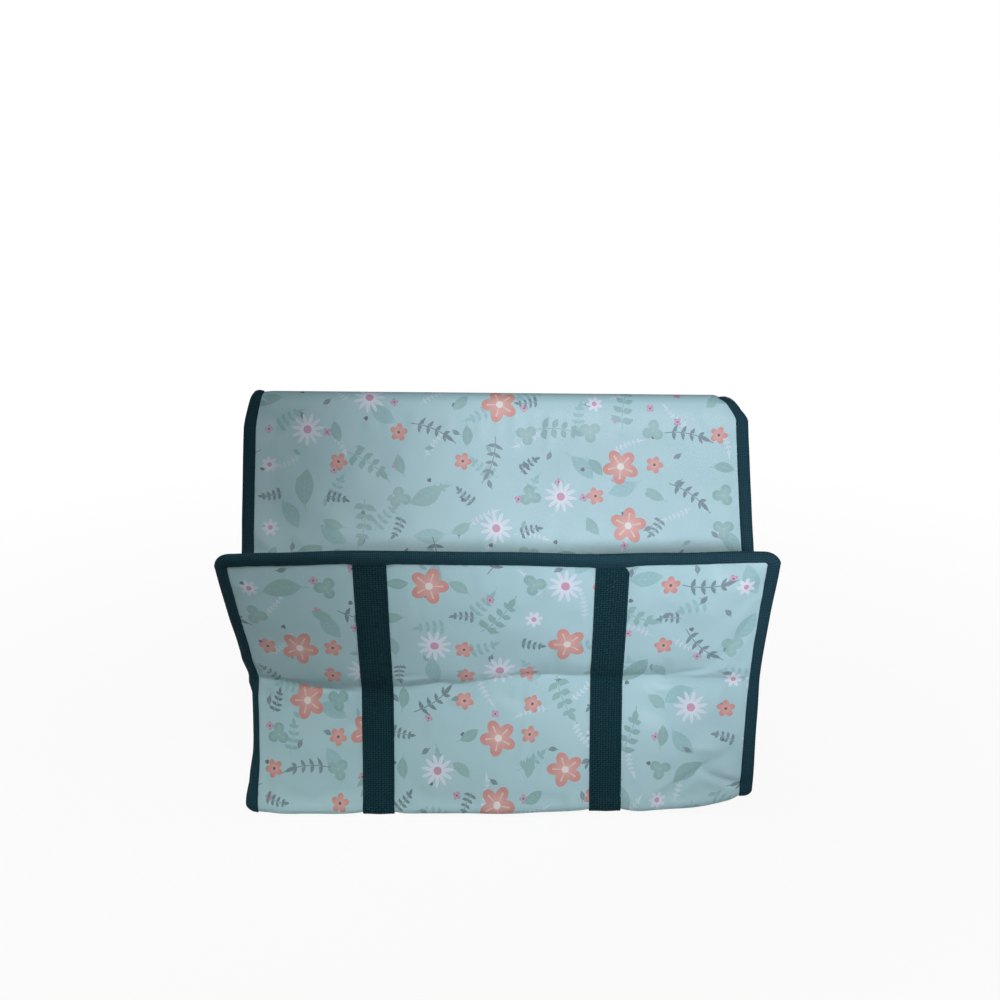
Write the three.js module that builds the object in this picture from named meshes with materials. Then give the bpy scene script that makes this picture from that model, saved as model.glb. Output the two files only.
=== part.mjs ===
import * as THREE from 'three';

// An insulated grocery tote, in millimetres. X runs across the bag, Y from front to back, Z up.

// The bag's outline, over its bindings.
const bagWidth = 480;
const rimWidth = 496;
const lidWidth = 490;
const bagDepth = 192;
const frontHeight = 264;
const gussetHeight = 248;

// The front stands empty: a crease across its middle has sunk in, and the rim leans out.
const creaseHeight = 121;
const creaseInset = 33;
const creaseSoftness = 12;
const rimLean = 3;
const gussetTuck = 16;
const gussetSag = 36;

// The back carries on above the rim, folds over and comes down inside the front as the lid.
const foldHeight = 366;
const foldRadius = 14;
const flapLean = THREE.MathUtils.degToRad(31);
const flapLength = 158;

// The wall: printed cloth, foam and foil lining, bound with tape along its seams.
const clothThickness = 0.7;
const foamThickness = 3;
const liningThickness = 0.4;
const layerGap = 0.3;
const bindingThickness = 0.8;
const bindingWidth = 12;
const cornerRadius = 14;

// The straps and the carrying handles are one width of webbing.
const webbingWidth = 30;
const webbingThickness = 1.6;
const strapSpacing = 215;
const strapShift = -6;
const handleDrop = 74;
const handleBend = 40;
const handleClearance = 3;
const rootGap = 0.4;

const wall = clothThickness + foamThickness + liningThickness + 2 * layerGap;
const bindingReach = layerGap + bindingThickness;
const floorLevel = webbingThickness + layerGap;
const innerFloor = floorLevel + wall + bindingReach + layerGap;
const backInner = bagDepth - wall - bindingReach - layerGap;
const halfWidth = bagWidth / 2;
const strapCentres = { left: strapShift - strapSpacing / 2, right: strapShift + strapSpacing / 2 };

const colours = {
  cloth: { color: 0xa6c8c4, roughness: 0.5, metalness: 0 },
  foam: { color: 0xf1f0ea, roughness: 0.9, metalness: 0 },
  foil: { color: 0xc9cccf, roughness: 0.3, metalness: 0.8 },
  tape: { color: 0x16302f, roughness: 0.75, metalness: 0 },
  webbing: { color: 0x123033, roughness: 0.8, metalness: 0 },
};

const bag = new THREE.Group();

function add(name, geometry, look) {
  const mesh = new THREE.Mesh(geometry, new THREE.MeshStandardMaterial(colours[look]));
  mesh.name = name;
  bag.add(mesh);
}

// A closed body from its points and triangles, turned so that its faces look outwards.
function closedBody(points, triangles) {
  let volume = 0;
  for (const [a, b, c] of triangles) {
    volume += points[a].dot(new THREE.Vector3().crossVectors(points[b], points[c]));
  }
  const facing = volume < 0 ? triangles.map(([a, b, c]) => [a, c, b]) : triangles;
  const geometry = new THREE.BufferGeometry().setFromPoints(points);
  geometry.setIndex(facing.flat());
  geometry.computeVertexNormals();
  return geometry;
}

// A sheet between two depths of a surface; place(u, v, depth) gives a point of it.
function sheet(us, vs, place, near, far) {
  const columns = us.length;
  const layer = columns * vs.length;
  const points = [];
  for (const depth of [near, far]) {
    for (const v of vs) {
      for (const u of us) points.push(place(u, v, depth));
    }
  }
  const triangles = [];
  const quad = (a, b, c, d) => triangles.push([a, b, c], [a, c, d]);
  for (let j = 0; j + 1 < vs.length; j += 1) {
    for (let i = 0; i + 1 < columns; i += 1) {
      const k = j * columns + i;
      quad(layer + k, layer + k + 1, layer + k + columns + 1, layer + k + columns);
      quad(k, k + columns, k + columns + 1, k + 1);
    }
  }
  const last = (vs.length - 1) * columns;
  for (let i = 0; i + 1 < columns; i += 1) {
    quad(i, i + 1, layer + i + 1, layer + i);
    quad(last + i + 1, last + i, layer + last + i, layer + last + i + 1);
  }
  for (let j = 0; j + 1 < vs.length; j += 1) {
    const k = j * columns;
    const m = k + columns - 1;
    quad(k + columns, k, layer + k, layer + k + columns);
    quad(m, m + columns, layer + m + columns, layer + m);
  }
  return closedBody(points, triangles);
}

// A section carried along a row of stations; place(station, a, b) sets each of its corners.
function carry(section, stations, place) {
  const corners = section.length;
  const points = [];
  for (const station of stations) {
    for (const [a, b] of section) points.push(place(station, a, b));
  }
  const triangles = [];
  for (let j = 0; j + 1 < stations.length; j += 1) {
    for (let i = 0; i < corners; i += 1) {
      const p = j * corners + i;
      const q = j * corners + ((i + 1) % corners);
      triangles.push([p, q, q + corners], [p, q + corners, p + corners]);
    }
  }
  const flat = section.map(([a, b]) => new THREE.Vector2(a, b));
  const end = (stations.length - 1) * corners;
  for (const [a, b, c] of THREE.ShapeUtils.triangulateShape(flat, [])) {
    triangles.push([c, b, a], [end + a, end + b, end + c]);
  }
  return closedBody(points, triangles);
}

function spread(from, to, steps) {
  return Array.from({ length: steps + 1 }, (_, i) => from + ((to - from) * i) / steps);
}

// Tape folded over an edge: a is the distance in from the edge, b the depth through the wall.
const tapeSection = [
  [0, -bindingReach],
  [bindingWidth, -bindingReach],
  [bindingWidth, -layerGap],
  [bindingThickness, -layerGap],
  [bindingThickness, wall + layerGap],
  [bindingWidth, wall + layerGap],
  [bindingWidth, wall + bindingReach],
  [0, wall + bindingReach],
];

function addPanel(name, us, vs, place) {
  const foamNear = clothThickness + layerGap;
  const liningNear = foamNear + foamThickness + layerGap;
  add(`${name}_outer`, sheet(us, vs, place, 0, clothThickness), 'cloth');
  add(`${name}_foam`, sheet(us, vs, place, foamNear, foamNear + foamThickness), 'foam');
  add(`${name}_lining`, sheet(us, vs, place, liningNear, liningNear + liningThickness), 'foil');
}

// A panel's edge with two rounded corners at its far end, drawn in by an inset.
const turn = Math.max(cornerRadius, bindingWidth + layerGap);

function edgeAt(half, end, v, inset) {
  const radius = turn - inset;
  const rise = Math.max(0, v - (end - turn));
  return half(v) - turn + Math.sqrt(Math.max(0, radius * radius - rise * rise));
}

function roundedRows(rows, end, inset) {
  const radius = turn - inset;
  const arc = spread(0, Math.PI / 2, 6).map((angle) => end - turn + radius * Math.sin(angle));
  return rows.filter((v) => v < end - turn - layerGap).concat(arc);
}

// The tape runs up one side, round a corner, along the far edge and down the other side.
function edgeStations(half, rows, end) {
  const sides = rows.filter((v) => v < end - turn - layerGap);
  const arc = spread(0, Math.PI / 2, 6);
  const side = (sign) => [
    ...sides.map((v) => (inset) => [sign * (half(v) - inset), v]),
    ...arc.map((angle) => (inset) => [
      sign * (half(end) - turn + (turn - inset) * Math.cos(angle)),
      end - turn + (turn - inset) * Math.sin(angle),
    ]),
  ];
  return [...side(-1), ...side(1).reverse()];
}

function addRoundedPanel(name, half, rows, end, place) {
  const inset = bindingReach;
  const across = (u, v, depth) => place(u * edgeAt(half, end, v, inset), v, depth);
  addPanel(name, [-1, 1], roundedRows(rows, end, inset), across);
  const stations = edgeStations(half, rows, end);
  const bind = (station, a, b) => place(...station(a), b);
  add(`${name}_binding`, carry(tapeSection, stations, bind), 'tape');
}

// The front: two flat slopes that meet in a soft crease.
const lowerSlope = creaseInset / (creaseHeight - floorLevel);
const upperSlope = -(creaseInset + rimLean) / (frontHeight - creaseHeight);

function frontLine(z) {
  const d = z - creaseHeight;
  if (d <= -creaseSoftness) return { y: creaseInset + lowerSlope * d, slope: lowerSlope };
  if (d >= creaseSoftness) return { y: creaseInset + upperSlope * d, slope: upperSlope };
  const bend = (upperSlope - lowerSlope) / (4 * creaseSoftness);
  const mean = (upperSlope + lowerSlope) / 2;
  const y = creaseInset + mean * d + bend * (d * d + creaseSoftness * creaseSoftness);
  return { y, slope: mean + 2 * bend * d };
}

function frontPlace(x, z, depth) {
  const { y, slope } = frontLine(z);
  return new THREE.Vector3(x, y + depth * Math.hypot(1, slope), z);
}

function frontHalf(z) {
  const share = (z - floorLevel) / (frontHeight - floorLevel);
  return THREE.MathUtils.lerp(halfWidth, rimWidth / 2, share);
}

const frontRows = [
  ...spread(floorLevel, creaseHeight - 2 * creaseSoftness, 3),
  ...spread(creaseHeight - creaseSoftness, creaseHeight + creaseSoftness, 8),
  ...spread(creaseHeight + 2 * creaseSoftness, frontHeight, 4),
];
addRoundedPanel('front', frontHalf, frontRows, frontHeight, frontPlace);

// The back stands straight up to the fold.
const foldStart = foldHeight - foldRadius;
const backRows = [floorLevel, foldStart - layerGap];
const backPlace = (x, z, depth) => new THREE.Vector3(x, bagDepth - depth, z);

function backHalf(z) {
  return THREE.MathUtils.mapLinear(z, floorLevel, foldStart, halfWidth, lidWidth / 2);
}

const backCloth = (u, z, depth) => backPlace(u * (backHalf(z) - bindingReach), z, depth);
addPanel('back', [-1, 1], backRows, backCloth);

// The fold turns over on a soft radius, and the lid hangs forward from its end.
const foldCentre = new THREE.Vector2(bagDepth - foldRadius, foldStart);
const foldEnd = Math.PI - flapLean;

function foldPlace(x, angle, depth) {
  const radius = foldRadius - depth;
  const y = foldCentre.x + radius * Math.cos(angle);
  return new THREE.Vector3(x, y, foldCentre.y + radius * Math.sin(angle));
}

const foldRows = spread(0, foldEnd, 12);
const lidHalf = lidWidth / 2;
const foldEdges = [bindingReach - lidHalf, lidHalf - bindingReach];
addPanel('fold', foldEdges, foldRows, foldPlace);

function lidPlace(x, s, depth) {
  const start = foldPlace(x, foldEnd, depth);
  const step = new THREE.Vector3(0, -Math.sin(flapLean), -Math.cos(flapLean));
  return start.addScaledVector(step, s);
}

addRoundedPanel('lid', () => lidHalf, [layerGap], flapLength, lidPlace);

// The base lies between the front and the back, over the straps.
const baseFront = frontPlace(0, innerFloor, wall + bindingReach).y + layerGap;
const baseRows = [baseFront, backInner];
const basePlace = (x, y, depth) => new THREE.Vector3(x, y, floorLevel + depth);
const baseEdges = [bindingReach - halfWidth, halfWidth - bindingReach];
addPanel('base', baseEdges, baseRows, basePlace);

// The gussets tuck in and sag towards the top; each butts the seam tape at the front, back and base.
function gussetTop(t) {
  return gussetHeight - gussetSag * Math.sin(Math.PI * t);
}

function gussetPlace(side, t, z, depth) {
  const at = (share) => {
    const front = frontPlace(0, z, wall + bindingReach).y + layerGap;
    const seam = THREE.MathUtils.lerp(frontHalf(z), backHalf(z), share) - bindingWidth;
    const rise = (z - innerFloor) / (gussetHeight - innerFloor);
    const x = seam + wall + layerGap - gussetTuck * rise * Math.sin(Math.PI * share);
    return new THREE.Vector3(side * x, THREE.MathUtils.lerp(front, backInner, share), z);
  };
  const tiny = 0.001;
  const along = at(t + tiny).sub(at(t - tiny));
  const point = at(t);
  point.x -= side * depth * Math.hypot(1, along.x / along.y);
  return point;
}

const gussetShares = spread(0, 1, 12);
const gussetEnd = gussetHeight - bindingReach;
const gussetRows = [
  innerFloor,
  ...frontRows.filter((z) => z > innerFloor && z < gussetEnd),
  gussetEnd,
];

function gussetRowHeight(t, row) {
  return THREE.MathUtils.mapLinear(row, innerFloor, gussetEnd, innerFloor, gussetTop(t) - bindingReach);
}

for (const [name, side] of [['left', -1], ['right', 1]]) {
  const gusset = (t, row, depth) => gussetPlace(side, t, gussetRowHeight(t, row), depth);
  addPanel(`${name}_gusset`, gussetShares, gussetRows, gusset);
  const rim = (t, a, b) => gussetPlace(side, t, gussetTop(t) - a, b);
  add(`${name}_gusset_binding`, carry(tapeSection, gussetShares, rim), 'tape');

  const backEdge = (z, a, b) => backPlace(side * (backHalf(z) - a), z, b);
  add(`back_${name}_binding`, carry(tapeSection, backRows, backEdge), 'tape');
  const foldEdge = (angle, a, b) => foldPlace(side * (lidHalf - a), angle, b);
  add(`fold_${name}_binding`, carry(tapeSection, foldRows, foldEdge), 'tape');
  const baseEdge = (y, a, b) => basePlace(side * (halfWidth - a), y, b);
  add(`base_${name}_binding`, carry(tapeSection, baseRows, baseEdge), 'tape');
}

// Each strap comes down the front from under the rim tape, runs under the base and up the back.
const frontStrapTop = frontHeight - bindingWidth - layerGap;
const rootReach = rootGap + webbingThickness / 2;
const handleHeight = frontHeight - bindingWidth - rootReach;
const strapFace = layerGap + webbingThickness;
const strapRows = [...frontRows.filter((z) => z < frontStrapTop), frontStrapTop];

function underStrap(centre) {
  const front = -strapFace;
  const back = bagDepth + strapFace;
  const round = webbingThickness * 0.8;
  const outline = new THREE.Shape();
  outline.moveTo(front, webbingThickness);
  outline.lineTo(front, round);
  outline.absarc(front + round, round, round, Math.PI, Math.PI * 1.5);
  outline.lineTo(back - round, 0);
  outline.absarc(back - round, round, round, Math.PI * 1.5, Math.PI * 2);
  outline.lineTo(back, webbingThickness);
  const solid = { depth: webbingWidth, bevelEnabled: false, curveSegments: 4 };
  const geometry = new THREE.ExtrudeGeometry(outline, solid);
  const across = new THREE.Vector3(1, 0, 0);
  const frame = new THREE.Matrix4();
  frame.makeBasis(new THREE.Vector3(0, 1, 0), new THREE.Vector3(0, 0, 1), across);
  geometry.applyMatrix4(frame);
  return geometry.translate(centre - webbingWidth / 2, 0, 0);
}

for (const [name, centre] of Object.entries(strapCentres)) {
  const edges = [centre - webbingWidth / 2, centre + webbingWidth / 2];
  add(`front_${name}_strap`, sheet(edges, strapRows, frontPlace, -strapFace, -layerGap), 'webbing');
  add(`base_${name}_strap`, underStrap(centre), 'webbing');
  const back = sheet(edges, [floorLevel, handleHeight], backPlace, -strapFace, -layerGap);
  add(`back_${name}_strap`, back, 'webbing');
}

// A handle is a loop of webbing that turns on edge towards its grip, hung from its two roots.
const hang = Math.asin(Math.min(0.9, (webbingWidth / 2 + handleClearance) / handleDrop));

function handleStations() {
  const half = strapSpacing / 2;
  const bend = Math.min(handleBend, handleDrop - webbingThickness);
  const straight = handleDrop - bend;
  const legs = spread(-webbingThickness / 2, straight, 4);
  const corners = spread(0, Math.PI / 2, 10).slice(1);
  const twistLength = straight + (bend * Math.PI) / 2;
  const leg = legs.map((s) => ({ x: -half, s, heading: 0, twist: Math.max(0, s) / twistLength }));
  const corner = corners.map((angle) => ({
    x: bend - half - bend * Math.cos(angle),
    s: straight + bend * Math.sin(angle),
    heading: angle,
    twist: (straight + bend * angle) / twistLength,
  }));
  const left = [...leg, ...corner];
  const right = left.map((p) => ({ ...p, x: -p.x, heading: Math.PI - p.heading }));
  return [...left, ...right.reverse()];
}

const bandSection = [
  [-webbingWidth / 2, -webbingThickness / 2],
  [webbingWidth / 2, -webbingThickness / 2],
  [webbingWidth / 2, webbingThickness / 2],
  [-webbingWidth / 2, webbingThickness / 2],
];

function handle(root, lean) {
  const across = new THREE.Vector3(1, 0, 0);
  const down = new THREE.Vector3(0, Math.sin(lean), -Math.cos(lean));
  const away = new THREE.Vector3().crossVectors(down, across);
  const place = ({ x, s, heading, twist }, a, b) => {
    const angle = (twist * Math.PI) / 2;
    const flat = across.clone().multiplyScalar(Math.cos(heading));
    flat.addScaledVector(down, -Math.sin(heading));
    const run = down.clone().multiplyScalar(Math.cos(heading));
    run.addScaledVector(across, Math.sin(heading));
    const wide = flat.multiplyScalar(Math.cos(angle)).addScaledVector(away, Math.sin(angle));
    const thick = new THREE.Vector3().crossVectors(run, wide);
    const point = root.clone().addScaledVector(across, strapShift + x).addScaledVector(down, s);
    return point.addScaledVector(wide, a).addScaledVector(thick, b);
  };
  return carry(bandSection, handleStations(), place);
}

const frontRoot = frontPlace(0, handleHeight, wall + bindingReach + rootReach);
add('front_handle', handle(frontRoot, Math.atan(-upperSlope) + hang), 'webbing');
const backRoot = backPlace(0, handleHeight, -strapFace - rootReach);
add('back_handle', handle(backRoot, hang), 'webbing');

// The frame's origin is the middle of the bag's footprint, on the floor.
const box = new THREE.Box3().setFromObject(bag);
const middle = box.getCenter(new THREE.Vector3());
for (const mesh of bag.children) mesh.position.set(-middle.x, -middle.y, -box.min.z);

export default bag;
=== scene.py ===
import math
import bpy
import numpy as np
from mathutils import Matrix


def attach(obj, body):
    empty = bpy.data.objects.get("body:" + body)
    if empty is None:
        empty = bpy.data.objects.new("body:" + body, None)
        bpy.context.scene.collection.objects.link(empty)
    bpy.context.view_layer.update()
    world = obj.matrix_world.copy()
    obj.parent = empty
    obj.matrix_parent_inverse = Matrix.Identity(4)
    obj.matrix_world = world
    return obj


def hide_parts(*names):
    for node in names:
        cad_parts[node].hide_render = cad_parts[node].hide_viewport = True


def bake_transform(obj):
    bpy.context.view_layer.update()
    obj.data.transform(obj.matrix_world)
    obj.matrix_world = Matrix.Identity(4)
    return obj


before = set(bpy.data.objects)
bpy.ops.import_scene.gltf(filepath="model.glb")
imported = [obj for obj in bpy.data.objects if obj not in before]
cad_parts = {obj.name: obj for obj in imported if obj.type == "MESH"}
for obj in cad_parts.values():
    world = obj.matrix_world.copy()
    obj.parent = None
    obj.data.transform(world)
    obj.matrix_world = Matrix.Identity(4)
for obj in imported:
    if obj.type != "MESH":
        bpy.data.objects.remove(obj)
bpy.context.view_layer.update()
bpy.ops.object.select_all(action="DESELECT")
scene = bpy.context.scene
print("frame loaded")

mm = 0.001  # lengths below are in millimetres, meshes in metres

# The bag's main lines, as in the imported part.
bag = {
    "frontY": -111.9, "backY": 80.1, "floor": 1.9, "rim": 264.0,
    "bottomHalf": 240.0, "rimHalf": 248.0, "lidHalf": 243.2,
    "wall": 4.7, "gap": 0.3, "tape": 12.0, "tapeThick": 0.8, "tucked": 2.5, "corner": 15.0,
    "bottomTurn": 6.0, "turnLength": 9.4,
    "webbing": 30.0, "webbingThick": 1.6, "strapX": (-113.5, 101.5),
}
quarter = bag["bottomTurn"] * math.pi / 2
dents = {"waves": 10, "shortest": 28.0, "longer": 50.0, "depth": 0.005}


def smooth(low, high, x):
    t = np.clip((np.asarray(x, float) - low) / (high - low), 0, 1)
    return t * t * (3 - 2 * t)


def between(points, x):
    # eases from one (place, value) pair to the next
    x = np.asarray(x, float)
    out = np.full(x.shape, float(points[0][1]))
    for (x0, y0), (x1, y1) in zip(points, points[1:]):
        out += (y1 - y0) * smooth(x0, x1, x)
    return out


def crumple(a, b, seed):
    # shallow uneven dents of a film that has been folded and opened, in mm
    waves = np.random.default_rng(seed).uniform(0, 1, (dents["waves"], 3))
    dent = 0
    for turn, size, shift in waves:
        length = dents["shortest"] + dents["longer"] * size
        along = a * math.cos(math.pi * turn) + b * math.sin(math.pi * turn)
        dent = dent + dents["depth"] * length * np.sin(math.tau * (along / length + shift))
    return dent


def lengths(points):
    # how far along a row of points each one is
    steps = np.linalg.norm(np.diff(points, axis=0), axis=1)
    return np.concatenate([[0], np.cumsum(steps)])


def rowsThrough(stops, counts):
    # places along a cloth, with a count for each stretch between stops
    stretches = [np.linspace(a, b, n)[:-1] for a, b, n in zip(stops, stops[1:], counts)]
    return np.concatenate(stretches + [[stops[-1]]])


# Meshes from grids of points.
def gridFaces(rows, columns):
    index = np.arange(rows * columns).reshape(rows, columns)
    quads = np.stack([index[:-1, :-1], index[:-1, 1:], index[1:, 1:], index[1:, :-1]], -1)
    return index, quads.reshape(-1, 4)


def newObject(name, verts, faces, uvs):
    mesh = bpy.data.meshes.new(name)
    mesh.from_pydata((np.asarray(verts) * mm).tolist(), [], faces)
    layer = mesh.uv_layers.new(name="cloth")
    loops = np.zeros(len(mesh.loops), np.int32)
    mesh.loops.foreach_get("vertex_index", loops)
    layer.data.foreach_set("uv", (np.asarray(uvs) * mm)[loops].astype(np.float32).ravel())
    mesh.polygons.foreach_set("use_smooth", np.ones(len(mesh.polygons), bool))
    obj = bpy.data.objects.new(name, mesh)
    scene.collection.objects.link(obj)
    return obj


def outward(verts, quads, caps):
    # turns the faces of a closed body to look out
    v, q = np.asarray(verts), np.asarray(quads)
    fans = [(c[0], c[i], c[i + 1]) for c in caps for i in range(1, len(c) - 1)]
    tris = np.concatenate([q[:, [0, 1, 2]], q[:, [0, 2, 3]], np.array(fans, int).reshape(-1, 3)])
    volume = np.einsum("ij,ij->", v[tris[:, 0]], np.cross(v[tris[:, 1]], v[tris[:, 2]]))
    faces = q.tolist() + [list(c) for c in caps]
    return [f[::-1] for f in faces] if volume < 0 else faces


def closedSheet(name, near, far, uv):
    rows, columns = near.shape[:2]
    layer = rows * columns
    index, top = gridFaces(rows, columns)
    border = np.concatenate([index[0, :], index[1:, -1], index[-1, -2::-1], index[-2:0:-1, 0]])
    ahead = np.roll(border, -1)
    sides = np.stack([ahead, border, border + layer, ahead + layer], -1)
    quads = np.concatenate([top, top[:, ::-1] + layer, sides])
    verts = np.concatenate([near.reshape(-1, 3), far.reshape(-1, 3)])
    uvs = np.concatenate([uv.reshape(-1, 2)] * 2)
    return newObject(name, verts, outward(verts, quads, []), uvs)


def carried(name, rings, uvs):
    # rings of section points along a path, capped at both ends
    stations, corners = rings.shape[:2]
    index = np.arange(stations * corners).reshape(stations, corners)
    turned = np.roll(index, -1, axis=1)
    quads = np.stack([index[:-1], turned[:-1], turned[1:], index[1:]], -1).reshape(-1, 4)
    caps = [index[0, ::-1].tolist(), index[-1].tolist()]
    verts = rings.reshape(-1, 3)
    return newObject(name, verts, outward(verts, quads, caps), uvs.reshape(-1, 2))


# Surfaces that everything is laid on.
def facing(points, towards):
    along = np.gradient(points, axis=1)
    up = np.gradient(points, axis=0)
    normal = np.cross(along, up)
    normal /= np.maximum(np.linalg.norm(normal, axis=2, keepdims=True), 1e-9)
    return normal * towards


def ground(points, us, vs, half, towards):
    return {"points": points, "normals": facing(points, towards), "us": us, "vs": vs, "half": half}


def pick(surface, u, v):
    # the point and the outward normal at u across (-1 to 1) and v along
    points, normals = surface["points"], surface["normals"]
    rows, columns = points.shape[:2]
    u, v = np.broadcast_arrays(np.asarray(u, float), np.asarray(v, float))
    c = np.clip(np.interp(u, surface["us"], np.arange(columns)), 0, columns - 1.000001)
    r = np.clip(np.interp(v, surface["vs"], np.arange(rows)), 0, rows - 1.000001)
    i, j = c.astype(int), r.astype(int)
    fc, fr = (c - i)[..., None], (r - j)[..., None]
    out = []
    for grid in (points, normals):
        low = grid[j, i] * (1 - fc) + grid[j, i + 1] * fc
        high = grid[j + 1, i] * (1 - fc) + grid[j + 1, i + 1] * fc
        out.append(low * (1 - fr) + high * fr)
    out[1] /= np.maximum(np.linalg.norm(out[1], axis=-1, keepdims=True), 1e-9)
    return out


def heldEdges(points, side, first, last):
    # the seams stay put: columns at both sides, the first rows and the last
    held = np.zeros(points.shape[:2])
    held[:, :side] = held[:, -side:] = 1
    held[:first] = held[-last:] = 1
    return held


drape = {"quality": 6, "mass": 0.3, "pull": 25, "shear": 12, "gravity": 0.2}


def settle(name, points, pinned, bend, ease, frames, most):
    # a short cloth simulation: the panel grows a little between its pinned seams and buckles softly
    rows, columns = points.shape[:2]
    index, quads = gridFaces(rows, columns)
    obj = newObject(name + "_trial", points.reshape(-1, 3), quads.tolist(), np.zeros((rows * columns, 2)))
    held = obj.vertex_groups.new(name="held")
    for weight in np.unique(pinned):
        held.add(index[pinned == weight].ravel().tolist(), float(weight), "REPLACE")
    cloth = obj.modifiers.new("Cloth", "CLOTH")
    cloth.settings.quality = drape["quality"]
    cloth.settings.mass = drape["mass"]
    cloth.settings.tension_stiffness = drape["pull"]
    cloth.settings.compression_stiffness = drape["pull"]
    cloth.settings.shear_stiffness = drape["shear"]
    cloth.settings.bending_stiffness = bend
    cloth.settings.vertex_group_mass = "held"
    cloth.settings.shrink_min = -ease
    cloth.settings.effector_weights.gravity = drape["gravity"]
    cloth.point_cache.frame_start = 1
    cloth.point_cache.frame_end = frames
    for step in range(1, frames + 1):
        scene.frame_set(step)
    shaped = obj.evaluated_get(bpy.context.evaluated_depsgraph_get()).to_mesh()
    moved = np.zeros(rows * columns * 3, np.float32)
    shaped.vertices.foreach_get("co", moved)
    moved = moved.reshape(rows, columns, 3) / mm - points
    bpy.data.objects.remove(obj)
    scene.frame_set(1)
    size = np.linalg.norm(moved, axis=2, keepdims=True)
    print(name, "settled, moved at most", round(float(size.max()), 1), "mm")
    return points + moved * np.minimum(1, most / np.maximum(size, 1e-6))


# The front: two slopes that meet in a crease.
front = {
    "columns": 165, "rowStops": (100, 150), "rows": (6, 30, 32, 40), "lean": 3.0,
    "creaseLine": [(-248, 127), (-150, 116), (-60, 119), (40, 131), (120, 130), (248, 135)],
    "creaseDepth": [(-248, 40), (-170, 36), (0, 33), (150, 30), (248, 14)],
    "creaseSoft": [(-248, 1.5), (-150, 3), (-60, 9), (20, 9), (110, 3), (248, 3)],
    "leftFlare": 4.5, "rightFlare": 2.0, "flareHeights": (170, 262),
    # degrees that the side seams turn back, by height, and the rim, by place across
    "leftTurn": [(0, 5), (30, 40), (70, 62), (108, 60), (124, 25), (262, 16)],
    "rightTurn": [(20, 0), (95, 18), (150, 28), (200, 20), (250, 4)],
    "rimTurn": [(60, 0), (180, 34), (240, 48)],
    "rimWave": [(-248, 0.8), (-200, 2.2), (-129, 4.3), (2, 2.9), (87, 0.9), (156, 2.9), (230, 5.6)],
    "waveHeights": (150, 264),
    "leftPull": [(10, 0), (60, 3.0), (105, 4.0), (128, 6.5), (150, 3.0), (200, 0)],
    # the bottom edge's lifts: from and to across, and how high
    "rightRise": (-20, 110, 3.5), "rightCurve": (120, 243, 17.0),
    "rightTip": (220, 231, 3.0), "leftTip": (-226, -242, 7.0), "liftTop": 75, "underEnds": (-105, -45),
    "sag": 1.5, "sagClear": (-2, 9), "sagEnds": (196, 226), "sagTop": 30,
    "puff": 1.4, "puffReach": 22,
    "wrinkles": [  # from, to, width and depth; a negative depth stands out
        ((-192, 119), (-128, 113), 2.4, 2.0),
        ((-234, 119), (-178, 95), 3.4, 2.6),
        ((-156, 78), (-130, 90), 4.0, 1.4),
        ((-98, 133), (-58, 137), 4.0, 1.3),
        ((-98, 111), (-40, 136), 6.0, 2.2),
        ((-70, 118), (-20, 100), 6.0, -1.6),
        ((10, 138), (84, 132), 3.0, 1.2),
        ((118, 136), (160, 135), 2.6, 1.4),
        ((150, 10), (226, 70), 7.0, 5.0),
        ((186, 46), (238, 12), 4.5, 5.0),
        ((172, 66), (214, 62), 6.0, -1.8),
        ((-92, 40), (-60, 8), 8.0, 2.0),
        ((20, 60), (75, 20), 12.0, 1.8),
    ],
}


def frontHalf(z):
    share = (np.asarray(z) - bag["floor"]) / (bag["rim"] - bag["floor"])
    return bag["bottomHalf"] + (bag["rimHalf"] - bag["bottomHalf"]) * share


def cornerLift(x):
    # the bottom edge rises to the right and curves up to its corner, and a little at the left
    start, end, high = front["rightCurve"]
    lift = high * np.clip((x - start) / (end - start), 0, 1.05) ** 2.6
    for start, end, high in (front["rightRise"], front["rightTip"], front["leftTip"]):
        lift = lift + high * smooth(start, end, x)
    return lift


def underLift(x, y):
    return cornerLift(x) * (1 - smooth(*front["underEnds"], y))


def bottomSag(x):
    # the cloth lies on the floor between the straps and clear of the side tapes
    clear = np.min([np.abs(x - centre) for centre in bag["strapX"]], axis=0) - bag["webbing"] / 2
    return front["sag"] * smooth(*front["sagClear"], clear) * (1 - smooth(*front["sagEnds"], np.abs(x)))


def frontRise(v):
    # v runs along the cloth: a quarter turn at the bottom, then up
    turn = bag["bottomTurn"]
    angle = np.clip(v, 0, quarter) / turn
    z = np.where(v < quarter, bag["floor"] + turn - turn * np.cos(angle), bag["floor"] + turn + v - quarter)
    return z, turn - turn * np.sin(angle)


frontEnd = bag["rim"] - bag["floor"] - bag["bottomTurn"] + quarter
print("front is cut", round(frontEnd), "mm tall")


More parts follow.
